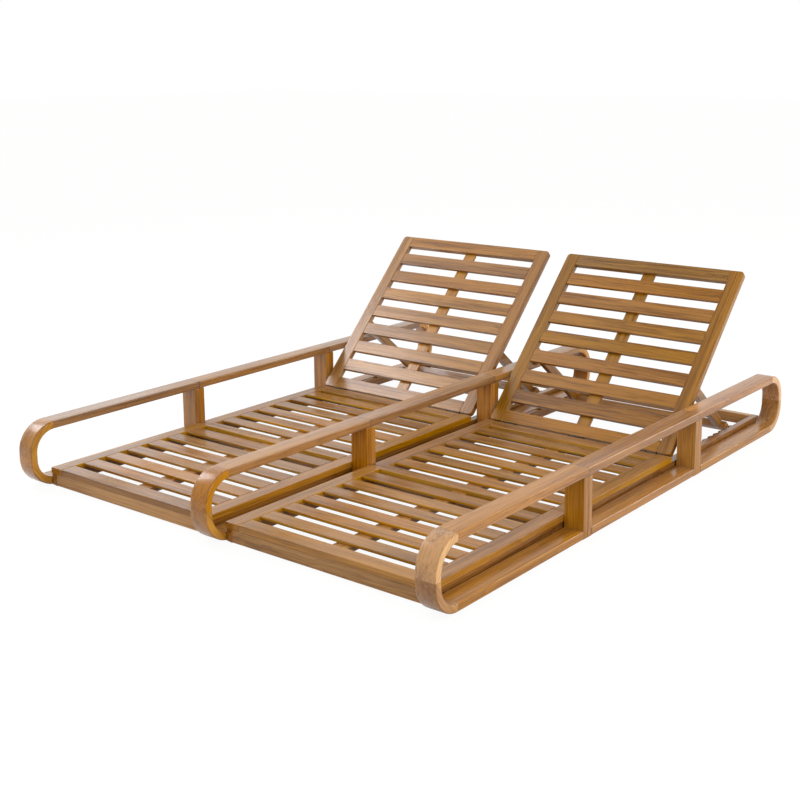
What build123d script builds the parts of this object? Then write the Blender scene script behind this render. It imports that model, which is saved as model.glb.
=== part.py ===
import os
from math import cos, radians, sin, sqrt

from build123d import *

os.makedirs("parts", exist_ok=True)

# Sizes of the whole, in millimetres. X runs across, +Y to the head end, +Z up.
length = 2000.0
arm_pitch = 759.0
seam = 0.3

# Arms: three loops of flat boards, each made of three frames butted end to end
arm_width = 62.0
arm_height = 198.0
arm_board = 24.0
bend_radius = 88.0
front_frame = 684.0
middle_frame = 666.0
post_board = 22.0
arm_edge_radius = 4.0
post_edge_radius = 1.5

# Decks: a front panel and a seat panel for each chaise
deck_top = 58.0
deck_board = 20.0
deck_slat_board = 9.0
deck_setback = 67.0
deck_side_gap = 1.0
deck_stile = 49.0
deck_slot = 32.0
deck_joint_slat = 22.0
deck_slots = 7
seat_length = 616.0
deck_edge_radius = 2.0
batten_width = 50.0
batten_board = 17.0

# Base under each deck
rail_board = 22.0
rail_setback = 4.0
front_rail_setback = 1.0
base_rear_setback = 33.0
glide_radius = 9.0
glide_height = 3.0
glide_inset = 12.0
rail_edge_radius = 1.5

# Bolts from the side rails into the arms
bolt_radius = 4.0
bolt_head_radius = 7.0
bolt_head = 4.0
bolt_depth = 25.0
bolt_height = 12.0
bolt_inset = 70.0
bolt_rear_inset = 120.0
spacer_radius = 9.0

# Backrest, hinged behind the seat panel, at the angle in which it stands
back_angle = 45.6
back_overhang = 18.6
back_side_gap = 8.5
back_stile = 48.0
back_board = 19.5
back_top_rail = 46.0
back_bottom_rail = 45.0
back_slat = 49.0
back_slats = 7
back_slat_board = 13.0
back_batten = 47.0
back_batten_board = 9.0
back_corner_radius = 12.0
back_edge_radius = 2.0
batten_notch_gap = 2.0

# Butt hinges between seat and backrest
hinge_count = 3
hinge_inset = 29.0
hinge_length = 56.0
hinge_leaf = 2.0
leaf_depth = 17.0
knuckle_radius = 3.0
knuckles = 5
knuckle_gap = 0.4
hinge_clearance = 0.3
pin_radius = 1.5
running_clearance = 0.08
screw_radius = 1.75
screw_head_radius = 3.4
screw_head = 1.2
screw_length = 16.0
screw_spacing = 19.0
screw_count = 3

# Prop behind each backrest: two legs on a crossbar
prop_angle = 38.97
pivot_share = 0.4077
leg_depth = 30.0
leg_board = 22.0
leg_back_gap = 4.5
leg_share = 0.4649
pivot_bearing = 1.5
leg_side_gap = 0.5
block_board = 16.0
block_length = 56.0
block_corner_radius = 8.0
bar_depth = 24.0
bar_height = 28.0
bar_side_gap = 0.5
pivot_radius = 4.0
pivot_head_radius = 7.0
pivot_head = 3.0
leg_edge_radius = 1.5

# Notched strips on the side rails, beside the crossbar's ends
strip_board = 11.0
strip_drop = 3.0
notch_pitch = 40.0
notch_depth = 4.5
notch_share = 0.75
notches_ahead = 5
strip_end_gap = 0.5
strip_tail = 14.0

# Places that follow from the sizes
front = -length / 2
rear = length / 2
joint_1 = front + front_frame
joint_2 = joint_1 + middle_frame
rail_under = arm_height - arm_board
arm_face = arm_pitch / 2 - arm_width / 2
deck_half = arm_face - deck_side_gap
deck_inner = deck_half - deck_stile
deck_under = deck_top - deck_board
deck_front = front + deck_setback
seat_rear = joint_1 + seat_length
rail_outer = deck_half - rail_setback
rail_inner = rail_outer - rail_board
rail_front = deck_front + front_rail_setback
rail_rear = rear - base_rear_setback
strip_inner = rail_inner - strip_board
arm_places = {"left": -arm_pitch, "centre": 0.0, "right": arm_pitch}
chaise_places = {"left": -arm_pitch / 2, "right": arm_pitch / 2}
bolt_places = [
    front + 2 * bolt_inset,
    joint_1 - bolt_inset,
    joint_1 + bolt_inset,
    joint_2 - bolt_rear_inset,
    joint_2 + bolt_inset,
    rear - bolt_rear_inset,
]

# The backrest's own frame: Y from the hinge line up its face, Z out of the face
axis_y = seat_rear + knuckle_radius + hinge_clearance
back_start = knuckle_radius + hinge_clearance
back_end = rear + back_overhang - axis_y
back_length = back_end - back_start
back_half_width = deck_half - back_side_gap
back_inner = back_half_width - back_stile
back_y = cos(radians(back_angle))
back_z = sin(radians(back_angle))
hinge_spacing = back_inner - hinge_inset
hinge_places = [(i - (hinge_count - 1) / 2) * hinge_spacing for i in range(hinge_count)]
screw_steps = [(i - (screw_count - 1) / 2) * screw_spacing for i in range(screw_count)]
screw_places = [place + step for place in hinge_places for step in screw_steps]
screw_level = -leaf_depth / 2

# The prop's own frame: Y from its pivot down the legs, Z towards the backrest when folded
pivot_along = back_length * pivot_share
leg_reach = back_length * leg_share
pivot_depth = back_board + leg_back_gap + leg_depth / 2
pivot_y = axis_y + pivot_along * back_y + pivot_depth * back_z
pivot_z = deck_top + pivot_along * back_z - pivot_depth * back_y
prop_y = cos(radians(prop_angle))
prop_z = sin(radians(prop_angle))
bar_start = leg_reach - bar_height
bar_half = strip_inner - bar_side_gap
leg_outer = back_inner + pivot_bearing
leg_inner = leg_outer - leg_board
block_inner = leg_outer + leg_side_gap
block_outer = block_inner + block_board
foot_y = pivot_y + leg_reach * prop_y


def back_frame(x):
    """Where a part drawn in the backrest's own frame stands on the chaise centred at x."""
    return Plane(origin=(x, axis_y, deck_top), x_dir=(1, 0, 0), z_dir=(0, -back_z, back_y)).location


def prop_frame(x):
    """Where a part drawn in the prop's own frame stands on the chaise centred at x."""
    return Plane(origin=(x, pivot_y, pivot_z), x_dir=(1, 0, 0), z_dir=(0, prop_z, prop_y)).location


def board(x_ends, y_ends, z_ends, mode=Mode.ADD):
    """Add, or cut, one board between its ends along X, Y and Z, in either order."""
    centre = (sum(x_ends) / 2, sum(y_ends) / 2, sum(z_ends) / 2)
    sizes = [abs(ends[1] - ends[0]) for ends in (x_ends, y_ends, z_ends)]
    with Locations(centre):
        Box(*sizes, mode=mode)


def bars_x(places, radius, x_ends, mode=Mode.ADD):
    """Add, or cut, round bars along X at the (y, z) places."""
    with Locations(*[(sum(x_ends) / 2, y, z) for y, z in places]):
        Cylinder(radius, abs(x_ends[1] - x_ends[0]), rotation=(0, 90, 0), mode=mode)


def bars_y(places, radius, y_ends, mode=Mode.ADD):
    """Add, or cut, round bars along Y at the (x, z) places."""
    with Locations(*[(x, sum(y_ends) / 2, z) for x, z in places]):
        Cylinder(radius, abs(y_ends[1] - y_ends[0]), rotation=(90, 0, 0), mode=mode)


def save(part, name):
    """Label the finished part and write its file."""
    part.label = name
    export_step(part, "parts/" + name + ".step")


# Arms: rails over and between the posts, quarter bends at both ends

for side, x in arm_places.items():
    across = (x - arm_width / 2, x + arm_width / 2)
    reached = [hand for hand in (-1, 1) if abs(x + hand * arm_pitch) < 2 * arm_pitch]

    with BuildPart() as top_rails:
        for ends in (
            (front + bend_radius, joint_1 - seam / 2),
            (joint_1 + seam / 2, joint_2 - seam / 2),
            (joint_2 + seam / 2, rear - bend_radius),
        ):
            board(across, ends, (rail_under, arm_height))
        fillet(top_rails.edges().filter_by(Axis.Y), radius=arm_edge_radius)
    save(top_rails.part, side + "_arm_top_rails")

    with BuildPart() as bottom_rails:
        for ends in (
            (front + bend_radius, joint_1 - post_board),
            (joint_1 + post_board, joint_2 - post_board),
            (joint_2 + post_board, rear - bend_radius),
        ):
            board(across, ends, (0, arm_board))
        fillet(bottom_rails.edges().filter_by(Axis.Y), radius=arm_edge_radius)
        for hand in reached:
            face = x + hand * arm_width / 2
            ends = (face - hand * bolt_depth, face + hand * bolt_depth)
            bars_x([(y, bolt_height) for y in bolt_places], bolt_radius, ends, Mode.SUBTRACT)
    save(bottom_rails.part, side + "_arm_bottom_rails")

    with BuildPart() as bends:
        middle = arm_height / 2
        for end, turn in ((front, 1), (rear, -1)):
            for level in (-1, 1):
                reach = end + turn * bend_radius
                inside = end + turn * arm_board
                seam_z = middle + level * seam / 2
                spring_z = middle + level * (middle - bend_radius)
                outer_z = middle + level * middle
                inner_z = middle + level * (middle - arm_board)
                outer_lean = bend_radius * sqrt(1 / 2)
                inner_lean = (bend_radius - arm_board) * sqrt(1 / 2)
                outer_mid = (reach - turn * outer_lean, spring_z + level * outer_lean)
                inner_mid = (reach - turn * inner_lean, spring_z + level * inner_lean)
                with BuildSketch(Plane.YZ.offset(across[0])):
                    with BuildLine():
                        ThreePointArc((reach, outer_z), outer_mid, (end, spring_z))
                        Polyline((end, spring_z), (end, seam_z), (inside, seam_z), (inside, spring_z))
                        ThreePointArc((inside, spring_z), inner_mid, (reach, inner_z))
                        Line((reach, inner_z), (reach, outer_z))
                    make_face()
                extrude(amount=arm_width)
        arcs = bends.edges().filter_by(GeomType.CIRCLE)
        uprights = bends.edges().filter_by(Axis.Z)
        flanks = [edge for edge in uprights if abs(edge.center().Y) > rear - 2 * arm_board]
        fillet(arcs + flanks, radius=arm_edge_radius)
    save(bends.part, side + "_arm_bends")

    with BuildPart() as posts:
        for ends in (
            (joint_1 - post_board, joint_1 - seam / 2),
            (joint_1 + seam / 2, joint_1 + post_board),
            (joint_2 - post_board, joint_2 - seam / 2),
            (joint_2 + seam / 2, joint_2 + post_board),
        ):
            board(across, ends, (0, rail_under))
        fillet(posts.edges().filter_by(Axis.Z), radius=post_edge_radius)
    save(posts.part, side + "_arm_posts")


# Decks: each chaise has a front panel and a seat panel, their narrow slats at the joint

front_panel = (deck_front, joint_1 - seam / 2)
seat_panel = (joint_1 + seam / 2, seat_rear)

for side, x in chaise_places.items():
    inside = (x - deck_inner, x + deck_inner)
    batten_spans = []

    for panel, (start, end) in {"front": front_panel, "seat": seat_panel}.items():
        slat = (end - start - deck_joint_slat - deck_slots * deck_slot) / deck_slots
        widths = [slat] * deck_slots + [deck_joint_slat]
        if panel == "seat":
            widths.reverse()

        with BuildPart() as stiles:
            for hand in (-1, 1):
                edges = (x + hand * deck_inner, x + hand * deck_half)
                board(edges, (start, end), (deck_under, deck_top))
            fillet(stiles.edges().filter_by(Axis.Y), radius=deck_edge_radius)
        save(stiles.part, side + "_" + panel + "_deck_stiles")

        with BuildPart() as slats:
            low = start
            for i, width in enumerate(widths):
                # The first and the last are members of the panel's frame
                thickness = deck_board if i in (0, deck_slots) else deck_slat_board
                board(inside, (low, low + width), (deck_top - thickness, deck_top))
                low = low + width + deck_slot
            fillet(slats.edges().filter_by(Axis.X), radius=deck_edge_radius)
            if panel == "seat":
                places = [(x + offset, deck_top + screw_level) for offset in screw_places]
                depth = screw_length - hinge_leaf
                bars_y(places, screw_radius, (end - depth, end + depth), Mode.SUBTRACT)
        save(slats.part, side + "_" + panel + "_deck_slats")
        batten_spans.append((start + widths[0], end - widths[-1]))

    # Battens under the thin slats, between the members of the panel's frame
    with BuildPart() as battens:
        middle = (x - batten_width / 2, x + batten_width / 2)
        batten_top = deck_top - deck_slat_board
        for span in batten_spans:
            board(middle, span, (batten_top - batten_board, batten_top))
    save(battens.part, side + "_deck_battens")

    # Side rails in two lengths, drilled and bored for the bolts into the arms
    with BuildPart() as side_rails:
        for hand in (-1, 1):
            edges = (x + hand * rail_inner, x + hand * rail_outer)
            board(edges, (rail_front, joint_1 - seam / 2), (glide_height, deck_under))
            board(edges, (joint_1 + seam / 2, rail_rear), (glide_height, deck_under))
        fillet(side_rails.edges().filter_by(Axis.Y), radius=rail_edge_radius)
        places = [(y, bolt_height) for y in bolt_places]
        sunk = rail_inner + bolt_head
        bars_x(places, bolt_radius, (x - deck_half, x + deck_half), Mode.SUBTRACT)
        bars_x(places, bolt_head_radius, (x - sunk, x + sunk), Mode.SUBTRACT)
    save(side_rails.part, side + "_side_rails")

    # Cross rails: front, two at the joint, under the hinges, and at the head end
    with BuildPart() as cross_rails:
        between = (x - rail_inner, x + rail_inner)
        for low in (
            rail_front,
            joint_1 - seam / 2 - rail_board,
            joint_1 + seam / 2,
            seat_rear - rail_board,
            rail_rear - rail_board,
        ):
            board(between, (low, low + rail_board), (glide_height, deck_under))
        notch = back_batten / 2 + batten_notch_gap
        notch_z = deck_top - back_slat_board - back_batten_board - batten_notch_gap
        board(
            (x - notch, x + notch),
            (rail_rear - 2 * rail_board, rail_rear + rail_board),
            (notch_z, deck_top),
            Mode.SUBTRACT,
        )
    save(cross_rails.part, side + "_cross_rails")

    # Strips with notches that step down towards the foot end
    with BuildPart() as strips:
        strip_top = deck_under - strip_drop
        strip_low = seat_rear + strip_end_gap
        strip_high = foot_y + strip_tail
        for hand in (-1, 1):
            with BuildSketch(Plane.YZ.offset(x + hand * strip_inner)):
                with Locations(((strip_low + strip_high) / 2, (glide_height + strip_top) / 2)):
                    Rectangle(strip_high - strip_low, strip_top - glide_height)
                for i in range(notches_ahead + 1):
                    stop = foot_y - i * notch_pitch
                    heel = stop - notch_pitch * notch_share
                    with BuildLine():
                        Polyline(
                            (stop, strip_top + notch_depth),
                            (stop, strip_top - notch_depth),
                            (heel, strip_top),
                            (heel, strip_top + notch_depth),
                            close=True,
                        )
                    make_face(mode=Mode.SUBTRACT)
            extrude(amount=hand * strip_board)
    save(strips.part, side + "_ratchet_strips")


# Backrests, drawn in their own frame about the hinge line and stood up to the angle shown

slat_space = back_length - back_top_rail - back_bottom_rail
back_gap = (slat_space - back_slats * back_slat) / (back_slats + 1)
thickness = (-back_board, 0)
between = (-back_inner, back_inner)

for side, x in chaise_places.items():
    stand = back_frame(x)

    with BuildPart() as stiles:
        with BuildSketch() as outline:
            with GridLocations(2 * back_half_width - back_stile, 0, 2, 1):
                with Locations((0, back_start + back_length / 2)):
                    Rectangle(back_stile, back_length)
            outer = [v for v in outline.vertices() if abs(v.X) > back_half_width - back_stile / 2]
            fillet(outer, radius=back_corner_radius)
        extrude(amount=-back_board)
        fillet(stiles.edges().filter_by(Axis.Y), radius=back_edge_radius)
    save(stand * stiles.part, side + "_backrest_stiles")

    with BuildPart() as slats:
        for i in range(back_slats):
            low = back_start + back_bottom_rail + back_gap + i * (back_slat + back_gap)
            board(between, (low, low + back_slat), (-back_slat_board, 0))
        fillet(slats.edges().filter_by(Axis.X), radius=back_edge_radius)
    save(stand * slats.part, side + "_backrest_slats")

    with BuildPart() as top_rail:
        board(between, (back_end - back_top_rail, back_end), thickness)
        fillet(top_rail.edges().filter_by(Axis.X), radius=back_edge_radius)
    save(stand * top_rail.part, side + "_backrest_top_rail")

    with BuildPart() as bottom_rail:
        board(between, (back_start, back_start + back_bottom_rail), thickness)
        fillet(bottom_rail.edges().filter_by(Axis.X), radius=back_edge_radius)
        places = [(offset, screw_level) for offset in screw_places]
        depth = screw_length - hinge_leaf
        bars_y(places, screw_radius, (back_start - depth, back_start + depth), Mode.SUBTRACT)
    save(stand * bottom_rail.part, side + "_backrest_bottom_rail")

    with BuildPart() as batten:
        board(
            (-back_batten / 2, back_batten / 2),
            (back_start + back_bottom_rail, back_end - back_top_rail),
            (-back_slat_board - back_batten_board, -back_slat_board),
        )
    save(stand * batten.part, side + "_backrest_batten")

    # Blocks behind the stiles that carry the prop's pivots
    with BuildPart() as blocks:
        block_low = -pivot_depth - leg_depth / 2
        for hand in (-1, 1):
            edges = (hand * block_inner, hand * block_outer)
            ends = (pivot_along - block_length / 2, pivot_along + block_length / 2)
            board(edges, ends, (block_low, -back_board))
        lower = blocks.edges().filter_by(Axis.X).group_by(Axis.Z)[0]
        fillet(lower, radius=block_corner_radius)
        bore = pivot_radius + running_clearance
        bars_x([(pivot_along, -pivot_depth)], bore, (-deck_half, deck_half), Mode.SUBTRACT)
    save(stand * blocks.part, side + "_prop_blocks")


# Hinges: leaves on the end faces of seat and backrest, knuckles in turn on one pin


def hinge_leaves(owner):
    """Three leaves with every other knuckle; owner 0 is the seat's, 1 is the backrest's."""
    turn = -1 if owner == 0 else 1
    pitch = hinge_length / knuckles
    bore = pin_radius + owner * running_clearance
    wall = turn * back_start
    with BuildPart() as leaves:
        for place in hinge_places:
            ends = (place - hinge_length / 2, place + hinge_length / 2)
            board(ends, (wall, wall - turn * hinge_leaf), (-leaf_depth, 0))
        for place in hinge_places:
            for i in range(knuckles):
                start = place - hinge_length / 2 + i * pitch
                if i % 2 == owner:
                    ends = (start + knuckle_gap / 2, start + pitch - knuckle_gap / 2)
                    bars_x([(0, 0)], knuckle_radius, ends)
                else:
                    ends = (start - knuckle_gap / 2, start + pitch + knuckle_gap / 2)
                    bars_x([(0, 0)], knuckle_radius + hinge_clearance, ends, Mode.SUBTRACT)
        bars_x([(0, 0)], bore, (-deck_half, deck_half), Mode.SUBTRACT)
        places = [(offset, screw_level) for offset in screw_places]
        sunk = wall - turn * (hinge_leaf - screw_head)
        bars_y(places, screw_radius, (wall, wall - turn * hinge_leaf), Mode.SUBTRACT)
        bars_y(places, screw_head_radius, (sunk, sunk - turn * screw_head), Mode.SUBTRACT)
    return leaves.part


def hinge_screws(turn):
    """Countersunk screws through a set of leaves; turn is the way they are driven along Y."""
    wall = turn * back_start
    with BuildPart() as screws:
        places = [(offset, screw_level) for offset in screw_places]
        sunk = wall - turn * (hinge_leaf - screw_head)
        tip = wall + turn * (screw_length - hinge_leaf)
        bars_y(places, screw_radius, (sunk, tip))
        bars_y(places, screw_head_radius, (sunk, sunk - turn * screw_head))
    return screws.part


for side, x in chaise_places.items():
    save(back_frame(x) * hinge_leaves(1), side + "_backrest_hinge_leaves")
    save(back_frame(x) * hinge_screws(1), side + "_backrest_hinge_screws")

hinge_lines = [Location((x, axis_y, deck_top)) for x in chaise_places.values()]
save(Compound(children=[line * hinge_leaves(0) for line in hinge_lines]), "seat_hinge_leaves")
save(Compound(children=[line * hinge_screws(-1) for line in hinge_lines]), "seat_hinge_screws")

with BuildPart() as pins:
    for x in chaise_places.values():
        for place in hinge_places:
            ends = (x + place - hinge_length / 2, x + place + hinge_length / 2)
            bars_x([(axis_y, deck_top)], pin_radius, ends)
save(pins.part, "hinge_pins")


# Props, drawn in their own frame about the pivot and swung to where they stand

for side, x in chaise_places.items():
    stand = prop_frame(x)
    half_depth = leg_depth / 2

    with BuildPart() as legs:
        for hand in (-1, 1):
            with BuildSketch(Plane.YZ.offset(hand * leg_inner)):
                Circle(half_depth)
                with Locations((bar_start / 2, 0)):
                    Rectangle(bar_start, leg_depth)
            extrude(amount=hand * leg_board)
        fillet(legs.edges().filter_by(Axis.Y), radius=leg_edge_radius)
        bars_x([(0, 0)], pivot_radius, (-deck_half, deck_half), Mode.SUBTRACT)
    save(stand * legs.part, side + "_prop_legs")

    with BuildPart() as crossbar:
        board((-bar_half, bar_half), (bar_start, leg_reach), (-half_depth, bar_depth - half_depth))
        fillet(crossbar.edges().filter_by(Axis.X), radius=leg_edge_radius)
    save(stand * crossbar.part, side + "_prop_crossbar")

    with BuildPart() as bolts:
        for hand in (-1, 1):
            bars_x([(0, 0)], pivot_radius, (hand * leg_inner, hand * (block_outer - leg_side_gap)))
            bars_x([(0, 0)], pivot_head_radius, (hand * leg_inner, hand * (leg_inner - pivot_head)))
    save(stand * bolts.part, side + "_prop_pivot_bolts")


# Bolts and spacers between the side rails and the arms, and the glides

with BuildPart() as arm_bolts:
    for x in chaise_places.values():
        for hand in (-1, 1):
            places = [(y, bolt_height) for y in bolt_places]
            head = x + hand * rail_inner
            tip = x + hand * (arm_face + bolt_depth)
            bars_x(places, bolt_radius, (head, tip))
            bars_x(places, bolt_head_radius, (head, head + hand * bolt_head))
save(arm_bolts.part, "arm_bolts")

with BuildPart() as spacers:
    for x in chaise_places.values():
        for hand in (-1, 1):
            places = [(y, bolt_height) for y in bolt_places]
            ends = (x + hand * rail_outer, x + hand * arm_face)
            bars_x(places, spacer_radius, ends)
            bars_x(places, bolt_radius, ends, Mode.SUBTRACT)
save(spacers.part, "arm_spacers")

with BuildPart() as glides:
    rail_middle = rail_outer - rail_board / 2
    ends = (rail_front + glide_inset, joint_1 - glide_inset, joint_1 + glide_inset, rail_rear - glide_inset)
    for x in chaise_places.values():
        for hand in (-1, 1):
            for y in ends:
                with Locations((x + hand * rail_middle, y, glide_height / 2)):
                    Cylinder(glide_radius, glide_height)
save(glides.part, "glides")
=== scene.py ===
from math import cos, pi, radians, sin

import bmesh
import bpy
from mathutils import Matrix, Vector


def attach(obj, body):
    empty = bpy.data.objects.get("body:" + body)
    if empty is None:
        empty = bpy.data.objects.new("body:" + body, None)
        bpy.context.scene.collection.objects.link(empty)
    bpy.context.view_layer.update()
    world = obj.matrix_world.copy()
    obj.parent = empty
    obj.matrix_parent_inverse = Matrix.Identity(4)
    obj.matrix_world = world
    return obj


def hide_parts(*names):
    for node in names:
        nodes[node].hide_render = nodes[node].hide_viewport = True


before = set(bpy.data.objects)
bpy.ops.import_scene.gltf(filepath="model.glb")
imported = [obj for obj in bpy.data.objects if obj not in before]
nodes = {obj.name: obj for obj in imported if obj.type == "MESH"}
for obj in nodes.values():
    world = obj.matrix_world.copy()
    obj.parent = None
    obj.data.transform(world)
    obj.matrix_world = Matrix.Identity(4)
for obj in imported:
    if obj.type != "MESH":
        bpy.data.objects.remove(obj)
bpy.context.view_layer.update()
print("frame loaded:", len(nodes), "CAD nodes")

# Sizes shared by the pieces, in metres and as in the construction
lounger = {
    "armX": {"left": -0.759, "centre": 0.0, "right": 0.759},
    "chaiseX": {"left": -0.3795, "right": 0.3795},
    "length": 2.0,
    "firstJoint": -0.316,
    "secondJoint": 0.35,
    "seam": 0.0003,
    "deckTop": 0.058,
    "hingeY": 0.3033,
    "backAngle": radians(45.6),
    "propAngle": radians(38.97),
}
seam = lounger["seam"]
j1, j2 = lounger["firstJoint"], lounger["secondJoint"]  # where the arms' frames and the decks' panels meet

# How the boards' meshes are made
meshing = {
    "cubeGrid": 6,  # points along each edge of a straight board
    "edgeSteps": 5,  # points round each edge of a bent board
    "bevelSteps": 3,
    "bevelAngle": radians(40),
    "creaseAngle": 0.8,
    "sideFacing": 0.9,  # a bent board's face is a side where it turns to the side more than this
    "bendGrain": (0.8, 0.6),  # how far up and inward the grain runs in a bend
    "seedRange": (1.0, 90.0),
}


# Node helpers

def newTree(name, kind, ins, outs):
    sockets = {"geo": "NodeSocketGeometry", "num": "NodeSocketFloat", "int": "NodeSocketInt",
               "vec": "NodeSocketVector", "col": "NodeSocketColor", "mat": "NodeSocketMaterial"}
    tree = bpy.data.node_groups.new(name, kind)
    for way, items in (("INPUT", ins), ("OUTPUT", outs)):
        for label, key, *start in items:
            socket = tree.interface.new_socket(label, in_out=way, socket_type=sockets[key])
            if start:
                socket.default_value = start[0]
    return tree, tree.nodes.new("NodeGroupInput").outputs


def feed(tree, socket, value):
    if isinstance(value, bpy.types.NodeSocket):
        tree.links.new(value, socket)
    else:
        socket.default_value = value


def put(tree, kind, inputs=None, **settings):
    node = tree.nodes.new(kind)
    for key, value in settings.items():
        setattr(node, key, value)
    for key, value in (inputs or {}).items():
        feed(tree, node.inputs[key], value)
    return node


def calc(tree, operation, *values, clamp=False):
    inputs = dict(enumerate(values))
    return put(tree, "ShaderNodeMath", inputs, operation=operation, use_clamp=clamp).outputs[0]


def calcVector(tree, operation, *values):
    keys = (0, "Scale") if operation == "SCALE" else range(len(values))
    node = put(tree, "ShaderNodeVectorMath", dict(zip(keys, values)), operation=operation)
    return node.outputs["Value" if operation == "DOT_PRODUCT" else "Vector"]


def split(tree, vector):
    return put(tree, "ShaderNodeSeparateXYZ", {"Vector": vector}).outputs


def combine(tree, x, y, z):
    return put(tree, "ShaderNodeCombineXYZ", {"X": x, "Y": y, "Z": z}).outputs[0]


def turned(tree, vector, angles):
    node = put(tree, "ShaderNodeVectorRotate", {"Vector": vector}, rotation_type="EULER_XYZ")
    feed(tree, node.inputs["Rotation"], angles)
    return node.outputs[0]


def mixed(tree, kind, share, first, second):
    # The mix node has sockets of every kind at once, so the ones of this kind go by number
    low, high, out = {"VECTOR": (4, 5, 1), "RGBA": (6, 7, 2)}[kind]
    return put(tree, "ShaderNodeMix", {0: share, low: first, high: second}, data_type=kind).outputs[out]


def mixShaders(tree, share, first, second):
    return put(tree, "ShaderNodeMixShader", {0: share, 1: first.outputs[0], 2: second.outputs[0]}).outputs[0]


def remember(tree, geometry, name, kind, value, domain="POINT"):
    inputs = {"Geometry": geometry, "Name": name, "Value": value}
    return put(tree, "GeometryNodeStoreNamedAttribute", inputs, data_type=kind, domain=domain).outputs[0]


def recall(tree, name, kind):
    return put(tree, "GeometryNodeInputNamedAttribute", {"Name": name}, data_type=kind).outputs["Attribute"]


# Geometry trees

def drawSeeds(tree, index, seed):
    node = put(tree, "FunctionNodeRandomValue", {"ID": index, "Seed": seed}, data_type="FLOAT")
    low, high = [socket for socket in node.inputs if socket.type == "VALUE"][:2]
    low.default_value, high.default_value = meshing["seedRange"]
    return [socket for socket in node.outputs if socket.type == "VALUE"][0]


def paintBoards(tree, mesh, get, sides):
    # The wood goes on every face, and then the side wood on the chosen ones; a side wood that differs from
    # the wood is painted light
    whole = put(tree, "GeometryNodeSetMaterial", {"Geometry": mesh, "Material": get["Wood"]}).outputs[0]
    inputs = {"Geometry": whole, "Selection": sides, "Material": get["Side Painted Light Wood"]}
    put(tree, "NodeGroupOutput", {"Mesh": put(tree, "GeometryNodeSetMaterial", inputs).outputs[0]})


boardSockets = [("Boards", "geo"), ("Edge Radius", "num", 0.002), ("Wood", "mat"), ("Side Painted Light Wood", "mat")]


def roundBoardsTree():
    # Each point becomes a board: a cube's grid, of which the cells along the edges are bent round them
    tree, get = newTree("roundBoards", "GeometryNodeTree", boardSockets, [("Mesh", "geo")])
    grid = meshing["cubeGrid"]
    cube = {"Size": (2, 2, 2), "Vertices X": grid, "Vertices Y": grid, "Vertices Z": grid}
    blank = put(tree, "GeometryNodeMeshCube", cube).outputs["Mesh"]
    place = put(tree, "GeometryNodeInputPosition").outputs[0]
    corner = calcVector(tree, "SIGN", place)
    reach = calcVector(tree, "SUBTRACT", calcVector(tree, "ABSOLUTE", place), (1 / (grid - 1),) * 3)
    bulge = calcVector(tree, "NORMALIZE", calcVector(tree, "MULTIPLY", reach, corner))
    shape = remember(tree, blank, "corner", "FLOAT_VECTOR", corner)
    shape = remember(tree, shape, "bulge", "FLOAT_VECTOR", bulge)
    # The long sides are marked, to take the side wood's painted light
    facing = split(tree, put(tree, "GeometryNodeInputNormal").outputs[0])["Y"]
    long = calc(tree, "GREATER_THAN", calc(tree, "ABSOLUTE", facing), 0.5)
    shape = remember(tree, shape, "paintedLightSide", "FLOAT", long, domain="FACE")
    boards = remember(tree, get["Boards"], "middle", "FLOAT_VECTOR", place)
    copies = put(tree, "GeometryNodeInstanceOnPoints", {"Points": boards, "Instance": shape}).outputs[0]
    solid = put(tree, "GeometryNodeRealizeInstances", {"Geometry": copies}).outputs[0]
    radius = get["Edge Radius"]
    half = calcVector(tree, "SCALE", recall(tree, "boardSize", "FLOAT_VECTOR"), 0.5)
    flatHalf = calcVector(tree, "SUBTRACT", half, combine(tree, radius, radius, radius))
    flat = calcVector(tree, "MULTIPLY", recall(tree, "corner", "FLOAT_VECTOR"), flatHalf)
    rounded = calcVector(tree, "SCALE", recall(tree, "bulge", "FLOAT_VECTOR"), radius)
    local = calcVector(tree, "ADD", flat, rounded)
    solid = remember(tree, solid, "boardPlace", "FLOAT_VECTOR", local)
    lying = turned(tree, local, recall(tree, "boardTurn", "FLOAT_VECTOR"))
    final = calcVector(tree, "ADD", lying, recall(tree, "middle", "FLOAT_VECTOR"))
    moved = put(tree, "GeometryNodeSetPosition", {"Geometry": solid, "Position": final}).outputs[0]
    smooth = put(tree, "GeometryNodeSetShadeSmooth", {"Geometry": moved}).outputs[0]
    # The long sides get the side wood, painted light where it differs from the wood, but not on an open
    # board, which ends the row in plain sight
    paintedLightMask = calc(tree, "SUBTRACT", recall(tree, "paintedLightSide", "FLOAT"), recall(tree, "boardOpen", "FLOAT"))
    paintBoards(tree, smooth, get, calc(tree, "GREATER_THAN", paintedLightMask, 0.5))
    return tree


def boardSetTree(rounding):
    tree, get = newTree("boardSet", "GeometryNodeTree", boardSockets, [("Mesh", "geo")])
    boards = put(tree, "GeometryNodeGroup", node_tree=rounding)
    for name, *rest in boardSockets:
        feed(tree, boards.inputs[name], get[name])
    put(tree, "NodeGroupOutput", {"Mesh": boards.outputs[0]})
    return tree


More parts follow.
